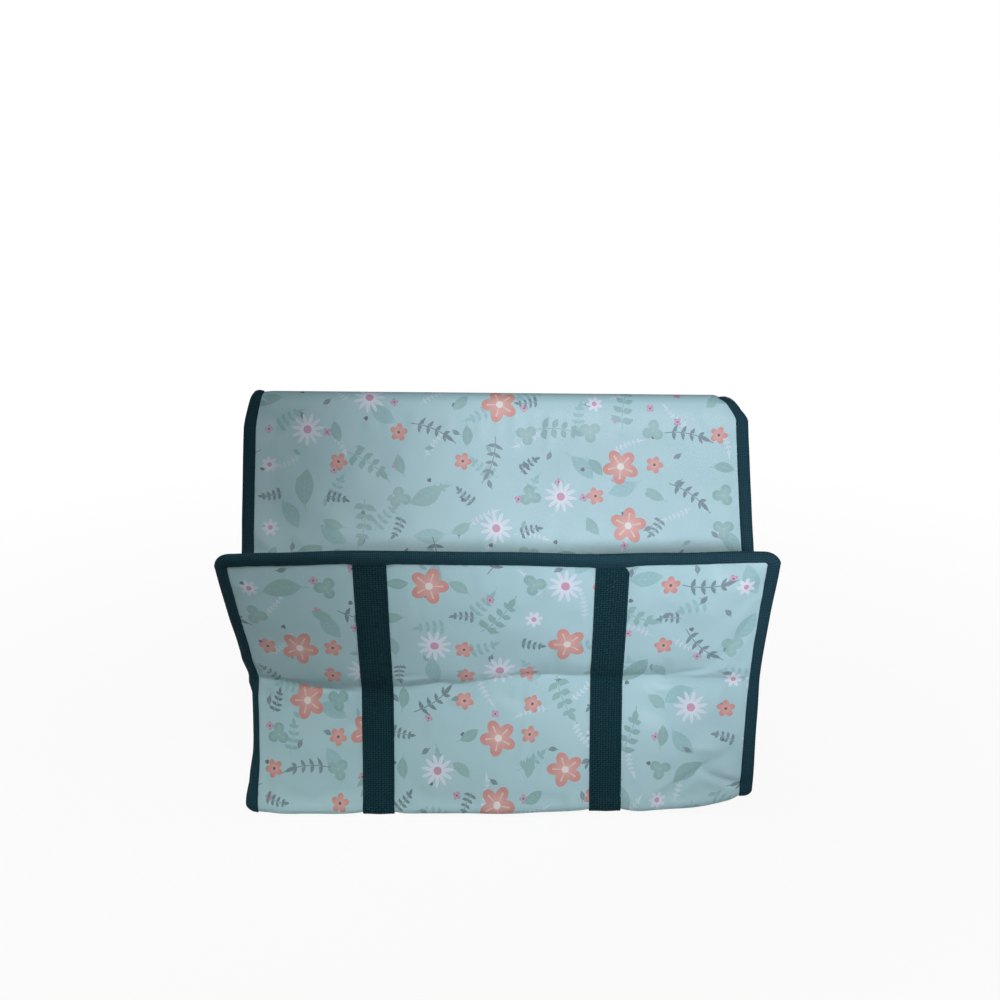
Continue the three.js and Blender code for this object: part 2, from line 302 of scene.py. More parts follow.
def frontPoints(us, vs):
    u, v = np.meshgrid(us, vs)
    z, under = frontRise(v)
    x = u * frontHalf(z)
    line = between(front["creaseLine"], x)
    depth = between(front["creaseDepth"], x)
    soft = between(front["creaseSoft"], x)
    low = depth / (line - bag["floor"])
    high = -(depth + front["lean"]) / (bag["rim"] - line)
    d = z - line
    mid = (low + high) / 2 * d + (high - low) / (4 * soft) * (d * d + soft * soft)
    y = depth + np.where(d < -soft, low * d, np.where(d > soft, high * d, mid))
    for start, end, width, deep in front["wrinkles"]:
        run = np.subtract(end, start)
        t = np.clip(((x - start[0]) * run[0] + (z - start[1]) * run[1]) / run.dot(run), 0, 1)
        away = np.hypot(x - start[0] - t * run[0], z - start[1] - t * run[1])
        y += deep * np.sin(math.pi * np.clip(t, 0.02, 0.98)) ** 0.7 / (1 + (away / width) ** 2) ** 1.5
    # padding stands out a little between the tape and the straps
    seam = np.minimum(frontHalf(z) - np.abs(x) - bag["tape"], bag["rim"] - z - bag["tape"])
    for centre in bag["strapX"]:
        seam = np.minimum(seam, np.abs(np.abs(x - centre) - bag["webbing"] / 2))
    y -= (front["puff"] + crumple(x, z, 5)) * smooth(0, front["puffReach"], seam)
    # the side seams turn back, and so does the rim's right end
    for side, turn in ((-1, "leftTurn"), (1, "rightTurn")):
        angle = np.radians(between(front[turn], z))
        over = np.maximum(0, bag["tape"] - frontHalf(z) + side * x)
        x, y = x - side * over * (1 - np.cos(angle)), y + over * np.sin(angle)
    angle = np.radians(between(front["rimTurn"], x))
    over = np.maximum(0, bag["tape"] - bag["rim"] + z)
    z, y = z - over * (1 - np.cos(angle)), y + over * np.sin(angle)
    flare = front["rightFlare"] * smooth(0.6, 1, u) - front["leftFlare"] * smooth(-0.6, -1, u)
    x = x + flare * smooth(*front["flareHeights"], z)
    x = x + between(front["leftPull"], z) * smooth(-0.5, -1, u)
    z = z + cornerLift(x) * (1 - smooth(0, front["liftTop"], z))
    wave = between(front["rimWave"], x) * smooth(*front["waveHeights"], z)
    z = z + wave - bottomSag(x) * (1 - smooth(0, front["sagTop"], z))
    return np.stack([x, y + under + bag["frontY"], z], -1)


frontUs = np.linspace(-1, 1, front["columns"])
frontVs = rowsThrough((0, bag["turnLength"], *front["rowStops"], frontEnd), front["rows"])
frontGrid = frontPoints(frontUs, frontVs)
frontHold = heldEdges(frontGrid, 4, 6, 4)
fromCrease = frontGrid[..., 2] - between(front["creaseLine"], frontGrid[..., 0])
frontHold[np.abs(fromCrease) < 4] = 1
frontGrid = settle("front", frontGrid, frontHold, bend=6, ease=0.004, frames=24, most=3.0)
frontGround = ground(frontGrid, frontUs, frontVs, lambda v: frontHalf(frontRise(np.asarray(v, float))[0]), 1)

# The back, the fold over it and the lid, in one length of cloth.
cover = {
    "columns": 141, "rows": (6, 80, 17, 46), "foldRows": (80, 103),
    "foldHeight": 366.0, "foldRadius": 14.0, "lean": math.radians(31), "flap": 163.5,
    "rightEar": (20.0, 29.0), "leftEar": (7.5, 40.0), "earDrop": 0.28,  # how far in, and reach along the edge
    "shift": 1.6, "shiftHeights": (200, 330), "rise": 3.1, "tilt": 0.0094, "riseHeights": (60, 300),
    "crease": (124, 16, 0.6),  # height, width and depth across the back
    "flapSlack": (0, 60), "backSlack": (20, 90), "foldFade": (90, 20), "seamFade": (8, 70),
}
foldStart = cover["foldHeight"] - cover["foldRadius"]
backEnd = foldStart - bag["floor"] - bag["bottomTurn"] + quarter
foldTurn = math.pi - cover["lean"]
lidStart = backEnd + cover["foldRadius"] * foldTurn
coverEnd = lidStart + cover["flap"]
coverCrest = backEnd + cover["foldRadius"] * math.pi / 2


def coverHalf(v):
    z = frontRise(np.minimum(v, backEnd))[0]
    share = np.clip((z - bag["floor"]) / (foldStart - bag["floor"]), 0, 1)
    return bag["bottomHalf"] + (bag["lidHalf"] - bag["bottomHalf"]) * share


def coverPoints(us, vs):
    u, v = np.meshgrid(us, vs)
    x = u * coverHalf(v)
    z, under = frontRise(np.minimum(v, backEnd))
    y = bag["backY"] - under
    angle = np.clip((v - backEnd) / cover["foldRadius"], 0, foldTurn)
    y = y + cover["foldRadius"] * (np.cos(angle) - 1)
    z = z + cover["foldRadius"] * np.sin(angle)
    run = np.maximum(0, v - lidStart)
    y = y - run * math.sin(cover["lean"])
    z = z - run * math.cos(cover["lean"])
    # the fold's corners are drawn in, the right one more
    for side, (pull, reach) in ((1, cover["rightEar"]), (-1, cover["leftEar"])):
        near = np.clip(1 - np.abs(v - coverCrest) / reach, 0, 1) ** 1.25
        x = x - side * pull * near * smooth(0.82, 1, side * u)
        z = z - cover["earDrop"] * pull * near * smooth(0.9, 1, side * u)
    x = x - cover["shift"] * smooth(*cover["shiftHeights"], z)
    lifted = smooth(*cover["riseHeights"], z) * (cover["rise"] - (x + bag["bottomHalf"]) * cover["tilt"])
    z = z + lifted - bottomSag(x) * (1 - smooth(0, front["sagTop"], z))
    # the flap is slack, with shallow waves
    slack = smooth(*cover["flapSlack"], run)
    wave = 1.3 * np.sin(x / 70 + 0.7) + 0.7 * np.sin(x / 33 + run / 40)
    y = y + slack * (wave + 0.8 * crumple(x, run, 6))
    # so is the back between its seams, with one crease across
    start, end = cover["foldFade"]
    slack = smooth(*cover["backSlack"], z) * (1 - smooth(backEnd - start, backEnd - end, v))
    slack = slack * smooth(*cover["seamFade"], coverHalf(v) - np.abs(x))
    height, width, deep = cover["crease"]
    wave = np.sin(x / 80 + 1.1) * np.sin(z / 60) - deep * np.exp(-((z - height) / width) ** 2)
    y = y + slack * (wave + 0.4 * crumple(x, z, 7))
    return np.stack([x, y, z], -1)


coverUs = np.linspace(-1, 1, cover["columns"])
coverVs = rowsThrough((0, quarter, backEnd, lidStart, coverEnd), cover["rows"])
coverGrid = coverPoints(coverUs, coverVs)
coverHold = heldEdges(coverGrid, 4, 6, 4)
coverHold[slice(*cover["foldRows"])] = 1
coverGrid = settle("cover", coverGrid, coverHold, bend=8, ease=0.004, frames=20, most=3.0)
coverGround = ground(coverGrid, coverUs, coverVs, coverHalf, -1)

# The gussets, between the front's seam and the back's.
gusset = {
    "columns": 41, "rows": 70, "top": 248.0, "sag": 36.0, "tuck": 16.0, "ridge": 3.0, "seamInset": 7.0,
    "deep": 190.0, "tall": 232.0, "printTall": 245.0, "tapeEnds": (0.012, 0.988), "tapeRows": 50,
}


def gussetGround(side):
    ts = np.linspace(0, 1, gusset["columns"])
    hs = np.linspace(0, 1, gusset["rows"])
    t, h = np.meshgrid(ts, hs)
    low = bag["floor"] + bag["wall"] + bag["gap"]
    z = low + (gusset["top"] - gusset["sag"] * np.sin(math.pi * t) - low) * h
    v = z - bag["floor"] - bag["bottomTurn"] + quarter
    half = frontHalf(z) - gusset["seamInset"]
    ahead, out = pick(frontGround, side * half / frontHalf(z), v)
    ahead = ahead - out * (bag["wall"] - bag["gap"])
    behind, out = pick(coverGround, side * (coverHalf(v) - gusset["seamInset"]) / coverHalf(v), v)
    behind = behind - out * (bag["wall"] - bag["gap"])
    points = ahead * (1 - t)[..., None] + behind * t[..., None]
    # its foot follows the base's lifted corner
    fall = cornerLift(points[..., 0]) * (1 - t) - underLift(points[..., 0], points[..., 1])
    points[..., 2] -= fall * (1 - smooth(0, front["liftTop"], z))
    rise = (z - low) / (gusset["top"] - low)
    tuck = gusset["tuck"] * rise * np.sin(math.pi * t)
    middle = np.exp(-((t - 0.5) / 0.07) ** 2)
    points[..., 0] -= side * (tuck + gusset["ridge"] * rise * middle)
    dent = 2.0 * np.sin(h * 9 + t * 5) * (1 - 0.6 * rise) + crumple(t * gusset["deep"], z, 8 + side)
    points[..., 0] += side * dent * np.sin(math.pi * t)
    name = "left_gusset" if side < 0 else "right_gusset"
    points = settle(name, points, heldEdges(points, 2, 2, 3), bend=5, ease=0.008, frames=20, most=4.0)
    return ground(points, ts, hs, None, side)


# Sheets of the wall.
layers = {  # the sheet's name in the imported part, and the depths of its two faces
    "cloth": ("outer", 0.0, 0.7), "padding": ("foam", 1.0, 4.0), "foil": ("lining", 4.3, 4.7),
}
pieces = {}


def pinch(inset):
    # share of the wall's thickness left near a taped edge
    return 0.5 + 0.5 * smooth(1, 15, inset)


def edgeAt(half, end, v, inset):
    # half the width left by an inset, with rounded corners at the far end
    radius = bag["corner"] - inset
    rise = np.maximum(0, v - (end - bag["corner"]))
    return half - bag["corner"] + np.sqrt(np.maximum(0, radius * radius - rise * rise))


def addWall(name, surface, us, vs, trim, inset, replaced, scale):
    # scale turns u and v to millimetres of print
    u, v = np.meshgrid(us, vs)
    point, out = pick(surface, u * trim(v), v)
    uv = np.stack([u * scale[0], v * scale[1]], -1)
    inward = out * pinch(inset(u * trim(v), v))[..., None]
    for layer, (sheet, near, far) in layers.items():
        obj = closedSheet(f"{name}_{layer}", point - inward * near, point - inward * far, uv)
        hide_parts(*[f"{n}_{sheet}" for n in replaced])
        pieces[obj.name] = obj


def roundedRows(vs, end):
    rest = vs[vs < end - bag["corner"] - 0.5]
    arc = end - bag["corner"] + (bag["corner"] - bag["tucked"]) * np.sin(np.linspace(0, math.pi / 2, 11))
    return np.concatenate([rest, arc])


def roundedTrim(surface, end):
    return lambda v: edgeAt(surface["half"](v), end, v, bag["tucked"]) / surface["half"](v)


def roundedInset(surface, end):
    corner = bag["corner"]

    def inset(u, v):
        side, far = surface["half"](v) * (1 - np.abs(u)), end - v
        rounded = corner - np.hypot(np.maximum(0, corner - side), np.maximum(0, corner - far))
        return np.where((side < corner) & (far < corner), rounded, np.minimum(side, far))
    return inset


addWall("front", frontGround, frontUs, roundedRows(frontVs, frontEnd),
        roundedTrim(frontGround, frontEnd), roundedInset(frontGround, frontEnd), ["front"], (244, 1))
addWall("cover", coverGround, coverUs, roundedRows(coverVs, coverEnd),
        roundedTrim(coverGround, coverEnd), roundedInset(coverGround, coverEnd),
        ["back", "fold", "lid"], (243, 1))
gussets = {"left": gussetGround(-1), "right": gussetGround(1)}
for side, surface in gussets.items():
    rows = surface["vs"] * (1 - bag["tucked"] / gusset["tall"])
    addWall(f"{side}_gusset", surface, surface["us"], rows, lambda v: 1.0,
            lambda u, v: (1 - v) * gusset["tall"], [f"{side}_gusset"], (gusset["deep"], gusset["printTall"]))

base = {"ends": (-105.5, 73.8), "tapeEnds": (-105.4, 73.7), "columns": 121, "rows": 30, "tapeRows": 50}
baseUs = np.linspace(-1, 1, base["columns"])
baseVs = np.linspace(*base["ends"], base["rows"])
u, v = np.meshgrid(baseUs, baseVs)
baseX = u * bag["bottomHalf"]
baseZ = bag["floor"] + underLift(baseX, v) - bottomSag(baseX)
baseGround = ground(np.stack([baseX, v, baseZ], -1), baseUs, baseVs, lambda v: bag["bottomHalf"] + 0 * v, -1)
addWall("base", baseGround, baseUs, baseVs, lambda v: 1 - bag["tucked"] / bag["bottomHalf"],
        lambda u, v: bag["bottomHalf"] * (1 - np.abs(u)), ["base"], (240, 1))
print("walls laid")

# Binding tape folded over the edges.
tapeShape = {
    "stitch": 9.6, "groove": 0.3, "puff": 1.4, "flat": 0.5, "skin": 1.0, "nose": 1.1, "start": 3.0,
    "insets": (10.8, 10.1, 9.6, 9.1, 8.0, 6.0, 4.0, 2.4),
}


def tapeSection(puff):
    # in from the edge, and depth through the wall; the two legs are sewn together near their ends
    wall, width, thick, skin = bag["wall"], bag["tape"], bag["tapeThick"], tapeShape["skin"]
    outer = [(width, -0.4), (width - 0.25, -0.85)]
    for a in tapeShape["insets"]:
        groove = tapeShape["groove"] * math.exp(-((a - tapeShape["stitch"]) / 0.5) ** 2)
        outer.append((a, groove - skin - puff * math.sin(math.pi * a / width)))
    nose, edge = tapeShape["nose"], wall * pinch(0) / 2
    turns = np.linspace(0.5, math.pi - 0.5, 7)
    bend = [(nose - nose * math.sin(t), edge - (edge + skin) * math.cos(t)) for t in turns]
    inner = [(width, -0.25), (6.0, -0.25), (thick + 0.6, -0.2), (thick, edge * 0.6)]
    section = outer + bend + [(a, wall * pinch(a) - b) for a, b in reversed(outer)]
    section += [(a, wall * pinch(a) - b) for a, b in inner] + list(reversed(inner))
    return np.array(section, float)


def addTape(name, surface, stations, replaced, puff=tapeShape["puff"], over=None):
    # stations give (u, v) for each inset; over raises the tape where a strap runs under it
    section = tapeSection(puff)
    around = lengths(section)
    rings = []
    for station in stations:
        uv = np.array([station(a) for a in section[:, 0]])
        point, out = pick(surface, uv[:, 0], uv[:, 1])
        depth = section[:, 1].copy()
        if over is not None:
            depth -= over(point) * (section[:, 1] < 0)
        rings.append(point - out * depth[:, None])
    rings = np.array(rings)
    along = lengths(rings.mean(1))
    uv = np.stack(np.broadcast_arrays(along[:, None], around[None, :]), -1)
    obj = carried(name, rings, uv)
    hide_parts(*replaced)
    pieces[name] = obj


def edgeRun(surface, start, end, count):
    # up one side, round a corner, along the far edge and down the other side
    half, corner = surface["half"], bag["corner"]
    rows = np.linspace(start, end - corner, count)
    arc = np.linspace(0, math.pi / 2, 12)[1:]
    across = np.linspace(1, -1, 120)[1:-1]

    def onSide(sign, v):
        return lambda a: (sign * (half(v) - a) / half(v), v)

    def onArc(sign, angle):
        def spot(a):
            v = end - corner + (corner - a) * math.sin(angle)
            x = half(end) - corner + (corner - a) * math.cos(angle)
            return sign * x / half(v), v
        return spot

    def onEnd(share):
        reach = (half(end) - corner) / half(end)
        return lambda a: (-share * reach, end - a)

    left = [onSide(-1, v) for v in rows] + [onArc(-1, t) for t in arc]
    right = [onSide(1, v) for v in rows] + [onArc(1, t) for t in arc]
    return left + [onEnd(s) for s in across] + right[::-1]


def overStraps(point):
    rise, half = 0, bag["webbing"] / 2
    for centre in bag["strapX"]:
        rise = np.maximum(rise, 1 - smooth(half - 1, half + 7, np.abs(point[:, 0] - centre)))
    return (bag["webbingThick"] + bag["gap"]) * rise


addTape("front_tape", frontGround, edgeRun(frontGround, tapeShape["start"], frontEnd, 90),
        ["front_binding"], over=overStraps)
addTape("cover_tape", coverGround, edgeRun(coverGround, tapeShape["start"], coverEnd, 190),
        ["lid_binding"] + [f"{n}_{s}_binding" for n in ("back", "fold") for s in ("left", "right")])
for side, sign in (("left", -1), ("right", 1)):
    shares = np.linspace(*gusset["tapeEnds"], gusset["tapeRows"])
    addTape(f"{side}_gusset_tape", gussets[side],
            [lambda a, t=t: (t, 1 - a / gusset["tall"]) for t in shares], [f"{side}_gusset_binding"])
    runs = np.linspace(*base["tapeEnds"], base["tapeRows"])
    addTape(f"base_{side}_tape", baseGround,
            [lambda a, y=y, s=sign: (s * (1 - a / bag["bottomHalf"]), y) for y in runs],
            [f"base_{side}_binding"], tapeShape["flat"])
print("tapes folded over")

# Straps and handles of webbing.
webbing = {
    "handleDrop": 74.0, "bend": 40.0, "flatEnd": 20.0, "clearance": 3.0, "rootReach": 1.2, "rootOver": 0.8,
    "rootY": {"front": -104.36, "back": 83.2}, "frontLean": math.atan(36 / 143),
    "underTape": 4.0, "pastRoot": 1.5,
    "cutBelow": 8.0, "cutLong": 9.0, "cutDeep": 6.0,  # the right strap's upper right corner is cut round
}
handleZ = bag["rim"] - bag["tape"] - webbing["rootReach"]
acrossWeb = np.concatenate([[-15, -14.7, -14], np.linspace(-12, 12, 7), [14, 14.7, 15]])
edgeThin = np.array([0.55, 0.85, 1, 1, 1, 1, 1, 1, 1, 1, 1, 0.85, 0.55])


def webStrip(name, middle, out):
    # middle and out are the points and normals of the strip's own middle surface
    half = bag["webbingThick"] / 2 * edgeThin[None, :, None]
    along = lengths(middle[:, len(acrossWeb) // 2])
    uv = np.stack(np.broadcast_arrays(acrossWeb[None, :], along[:, None]), -1)
    return closedSheet(name, middle + out * half, middle - out * half, uv)


for side, centre in zip(("left", "right"), bag["strapX"]):
    x = centre + acrossWeb
    lift = bag["gap"] + bag["webbingThick"] / 2
    rows = rowsThrough((frontEnd - webbing["underTape"], bag["turnLength"], 0), (95, 7))
    vv, xx = np.meshgrid(rows, x, indexing="ij")
    if side == "right":
        near = np.clip((vv - frontEnd + bag["tape"] + webbing["cutBelow"]) / webbing["cutLong"], 0, 1) ** 2
        xx = xx - webbing["cutDeep"] * near * np.clip((xx - centre) / (bag["webbing"] / 2), 0, 1) ** 2
    point, out = pick(frontGround, xx / frontGround["half"](vv), vv)
    yy, xx = np.meshgrid(np.linspace(*base["ends"], 40), x, indexing="ij")
    under = np.stack([xx, yy, bag["floor"] + underLift(xx, yy)], -1)
    down = np.zeros_like(under)
    down[..., 2] = -1
    rows = rowsThrough((0, bag["turnLength"], handleZ + webbing["pastRoot"]), (7, 80))
    vv, xx = np.meshgrid(rows, x, indexing="ij")
    behind, outBehind = pick(coverGround, xx / coverHalf(vv), vv)
    middle = np.concatenate([point, under[1:-1], behind])
    normal = np.concatenate([out, down[1:-1], outBehind])
    obj = webStrip(f"{side}_webbing", middle + normal * lift, normal)
    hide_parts(*[f"{n}_{side}_strap" for n in ("front", "base", "back")])
    pieces[obj.name] = obj


def handleLoop(name, root, lean):
    drop, bend = webbing["handleDrop"], webbing["bend"]
    half = (bag["strapX"][1] - bag["strapX"][0]) / 2
    shift = sum(bag["strapX"]) / 2
    straight = drop - bend
    twistLength = straight + bend * math.pi / 2 - webbing["flatEnd"]

    def twistAt(run):
        return max(0, run - webbing["flatEnd"]) / twistLength

    path = [(-half, s, 0.0, twistAt(s)) for s in np.linspace(-webbing["rootOver"], straight, 14)]
    for t in np.linspace(0, math.pi / 2, 26)[1:]:
        x = bend - half - bend * math.cos(t)
        path.append((x, straight + bend * math.sin(t), t, twistAt(straight + bend * t)))
    grip = [(x, drop, math.pi / 2, 1.0) for x in np.linspace(bend - half, half - bend, 30)[1:-1]]
    path = path + grip + [(-x, s, math.pi - t, w) for x, s, t, w in reversed(path)]
    across = np.array([1.0, 0, 0])
    down = np.array([0, math.sin(lean), -math.cos(lean)])
    away = np.cross(down, across)
    middle, normal = [], []
    for x, s, heading, twist in path:
        angle = twist * math.pi / 2
        flat = across * math.cos(heading) - down * math.sin(heading)
        run = down * math.cos(heading) + across * math.sin(heading)
        wideWay = flat * math.cos(angle) + away * math.sin(angle)
        thickWay = np.cross(run, wideWay)
        point = root + across * (shift + x) + down * s
        middle.append(point + wideWay * acrossWeb[:, None])
        normal.append(np.repeat(thickWay[None], len(acrossWeb), 0))
    obj = webStrip(name + "_loop", np.array(middle), np.array(normal))
    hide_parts(name + "_handle")
    pieces[obj.name] = obj


swing = math.asin((bag["webbing"] / 2 + webbing["clearance"]) / webbing["handleDrop"])
handleLoop("front", np.array([0, webbing["rootY"]["front"], handleZ]), webbing["frontLean"] + swing)
handleLoop("back", np.array([0, webbing["rootY"]["back"], handleZ]), swing)
print("webbing sewn on")


# Materials.
def colour(code):
    # sRGB hex to linear
    parts = [int(code[i:i + 2], 16) / 255 for i in (0, 2, 4)]
    return tuple(c / 12.92 if c <= 0.04045 else ((c + 0.055) / 1.055) ** 2.4 for c in parts) + (1.0,)


drawing = {}  # the node tree that wire adds to


def wire(kind, *feeds, named=None, **settings):
    # adds a node, sets it, feeds its sockets and returns its first output; a mode can follow the kind
    kind, _, mode = kind.partition(".")
    node = drawing["tree"].nodes.new("ShaderNode" + kind)
    if mode:
        setattr(node, "data_type" if kind == "Mix" else "operation", mode)
    for name, value in settings.items():
        setattr(node, name, value)
    sockets = [s for s in node.inputs if s.enabled]
    pairs = list(zip(sockets, feeds)) + [(node.inputs[k], f) for k, f in (named or {}).items()]
    for socket, feed in pairs:
        if isinstance(feed, bpy.types.NodeSocket):
            drawing["tree"].links.new(feed, socket)
        elif feed is not None:
            socket.default_value = feed
    return next((s for s in node.outputs if s.enabled), None)


def newMaterial(name):
    material = bpy.data.materials.new(name)
    material.use_nodes = True
    material.node_tree.nodes.clear()
    drawing["tree"] = material.node_tree
    return material


def scatter(cloth, field):
    # a drawn repeat: local millimetres round each motif's centre, and two chances of its own
    wide, tall = field["pitch"]
    flat = wire("VectorMath.MULTIPLY", cloth, (1000 / wide, 1000 / tall, 0))
    placed = wire("VectorMath.SUBTRACT", flat, (field["start"][0], field["start"][1], 0))
    split = wire("SeparateXYZ", placed).node.outputs
    column = wire("Math.FLOOR", split["X"])
    odd = wire("Math.FLOORED_MODULO", column, 2.0)
    dropped = wire("Math.MULTIPLY_ADD", odd, field["drop"], split["Y"])
    moved = wire("CombineXYZ", split["X"], dropped, 0.0)
    cell = wire("VectorMath.FLOOR", moved)
    local = wire("VectorMath.FRACTION", moved)
    local = wire("VectorMath.ADD", local, (-0.5, -0.5, 0))
    luck = wire("TexWhiteNoise", cell, field["seed"], noise_dimensions="4D").node.outputs
    stray = wire("VectorMath.ADD", luck["Color"], (-0.5, -0.5, -0.5))
    stray = wire("VectorMath.MULTIPLY", stray, (field["stray"], field["stray"], 0))
    at = wire("VectorMath.MULTIPLY_ADD", local, (wide, tall, 0), stray)
    chance = wire("SeparateXYZ", luck["Color"]).node.outputs
    spin = wire("Math.MULTIPLY", luck["Value"], math.tau)
    at = wire("VectorRotate", at, (0, 0, 0), spin, rotation_type="Z_AXIS")
    split = wire("SeparateXYZ", at).node.outputs
    return at, split["X"], split["Y"], chance["Z"], chance["X"]


def inked(inside, soft=0.4):
    # a distance inside an outline, in mm, to ink
    return wire("MapRange", inside, 0.0, soft, 0.0, 1.0, clamp=True)


def drawBlossom(motif, at, x, y, ink):
    radius = wire("VectorMath.LENGTH", at)
    angle = wire("Math.ARCTAN2", y, x)
    lobes = wire("Math.COSINE", wire("Math.MULTIPLY", angle, float(motif["petals"])))
    lobes = wire("Math.POWER", wire("Math.MULTIPLY_ADD", lobes, 0.5, 0.5), motif["round"])
    size, notch = motif["size"], motif["notch"]
    edge = wire("Math.MULTIPLY_ADD", lobes, size * notch, size * (1 - notch))
    inside = wire("Math.SUBTRACT", edge, radius)
    pale = wire("MapRange", radius, size * 0.1, size * 0.8, 0.9, 0.0, clamp=True)
    petal = wire("Mix.RGBA", pale, ink, colour(motif["heart"]))
    if "vein" in motif:
        vein = inked(wire("Math.SUBTRACT", lobes, 0.965), 0.03)
        vein = wire("Math.MULTIPLY", vein, wire("Math.LESS_THAN", radius, size * 0.7))
        vein = wire("Math.MULTIPLY", vein, motif["vein"])
        petal = wire("Mix.RGBA", vein, petal, colour(motif["eye"]))
    centre = inked(wire("Math.SUBTRACT", size * motif["eyeSize"], radius))
    return inside, wire("Mix.RGBA", centre, petal, colour(motif["eye"]))


def drawSprig(motif, at, x, y, ink):
    half, step, leafLong, leafWide = motif["length"] / 2, motif["step"], *motif["leaf"]
    count = float(math.floor((half - leafLong * 0.8) / step))
    lowest = -float(math.floor(half * 0.8 / step))
    squared = wire("Math.MULTIPLY", y, y)
    bowed = wire("Math.MULTIPLY_ADD", squared, motif["bow"] / (half * half), x)
    side = wire("Math.ABSOLUTE", bowed)
    # opposite leaves: which pair, then along and across that leaf
    pair = wire("Math.FLOOR", wire("Math.MULTIPLY_ADD", y, 1 / step, 0.5))
    pair = wire("Clamp", pair, lowest, count)
    up = wire("Math.MULTIPLY_ADD", pair, -step, y)
    cosine, sine = math.cos(motif["rise"]), math.sin(motif["rise"])
    along = wire("Math.MULTIPLY_ADD", side, cosine, wire("Math.MULTIPLY", up, sine))
    across = wire("Math.MULTIPLY_ADD", side, -sine, wire("Math.MULTIPLY", up, cosine))
    across = wire("Math.ABSOLUTE", across)
    size = wire("MapRange", pair, lowest, count, 1.0, motif["taper"], clamp=True)
    t = wire("Math.DIVIDE", along, wire("Math.MULTIPLY", size, leafLong))
    belly = wire("Math.MULTIPLY", t, wire("Math.SUBTRACT", 1.0, t))
    width = wire("Math.MULTIPLY", size, leafWide * 2)
    leaf = wire("Math.SUBTRACT", wire("Math.MULTIPLY", belly, width), across)
    # the leaf at the tip
    t = wire("Math.MULTIPLY_ADD", y, 1 / leafLong, -count * step / leafLong)
    belly = wire("Math.MULTIPLY", t, wire("Math.SUBTRACT", 1.0, t))
    tip = wire("Math.MULTIPLY", belly, leafWide * (1 + motif["taper"]))
    tip = wire("Math.SUBTRACT", tip, side)
    stalk = wire("Math.SUBTRACT", motif["stalk"], side)
    tall = wire("Math.SUBTRACT", half * 0.97, wire("Math.ABSOLUTE", y))
    stalk = wire("Math.MINIMUM", stalk, tall)
    inside = wire("Math.MAXIMUM", wire("Math.MAXIMUM", leaf, tip), stalk)
    if "vein" in motif:
        rib = inked(wire("Math.SUBTRACT", 0.3, across))
        rib = wire("Math.MULTIPLY", rib, wire("Math.GREATER_THAN", leaf, 0.5))
        rib = wire("Math.MULTIPLY", rib, motif["vein"])
        ink = wire("Mix.RGBA", rib, ink, colour(motif["ink"][2]))
    return inside, ink


def drawLeaf(motif, at, x, y, ink):
    half = motif["length"] / 2
    squared = wire("Math.MULTIPLY", y, y)
    bowed = wire("Math.MULTIPLY_ADD", squared, motif["bow"] / (half * half), x)
    side = wire("Math.ABSOLUTE", bowed)
    t = wire("MapRange", y, -half * 0.7, half, 0.0, 1.0, clamp=False)
    belly = wire("Math.MULTIPLY", t, wire("Math.SUBTRACT", 1.0, t))
    leaf = wire("Math.MULTIPLY", belly, motif["wide"] * 2)
    leaf = wire("Math.SUBTRACT", leaf, side)
    stalk = wire("Math.SUBTRACT", 0.45, side)
    tall = wire("Math.SUBTRACT", half, wire("Math.ABSOLUTE", y))
    stalk = wire("Math.MINIMUM", stalk, tall)
    inside = wire("Math.MAXIMUM", leaf, stalk)
    # ribs run up from the middle
    rib = wire("Math.MULTIPLY_ADD", y, 1.0, wire("Math.MULTIPLY", side, -0.9))
    rib = wire("Math.SINE", wire("Math.MULTIPLY", rib, motif["ribs"]))
    rib = wire("Math.GREATER_THAN", rib, 0.9)
    rib = wire("Math.MAXIMUM", rib, wire("Math.LESS_THAN", side, 0.4))
    rib = wire("Math.MULTIPLY", rib, wire("Math.GREATER_THAN", leaf, 0.6))
    rib = wire("Math.MULTIPLY", rib, motif["vein"])
    return inside, wire("Mix.RGBA", rib, ink, colour(motif["ink"][2]))


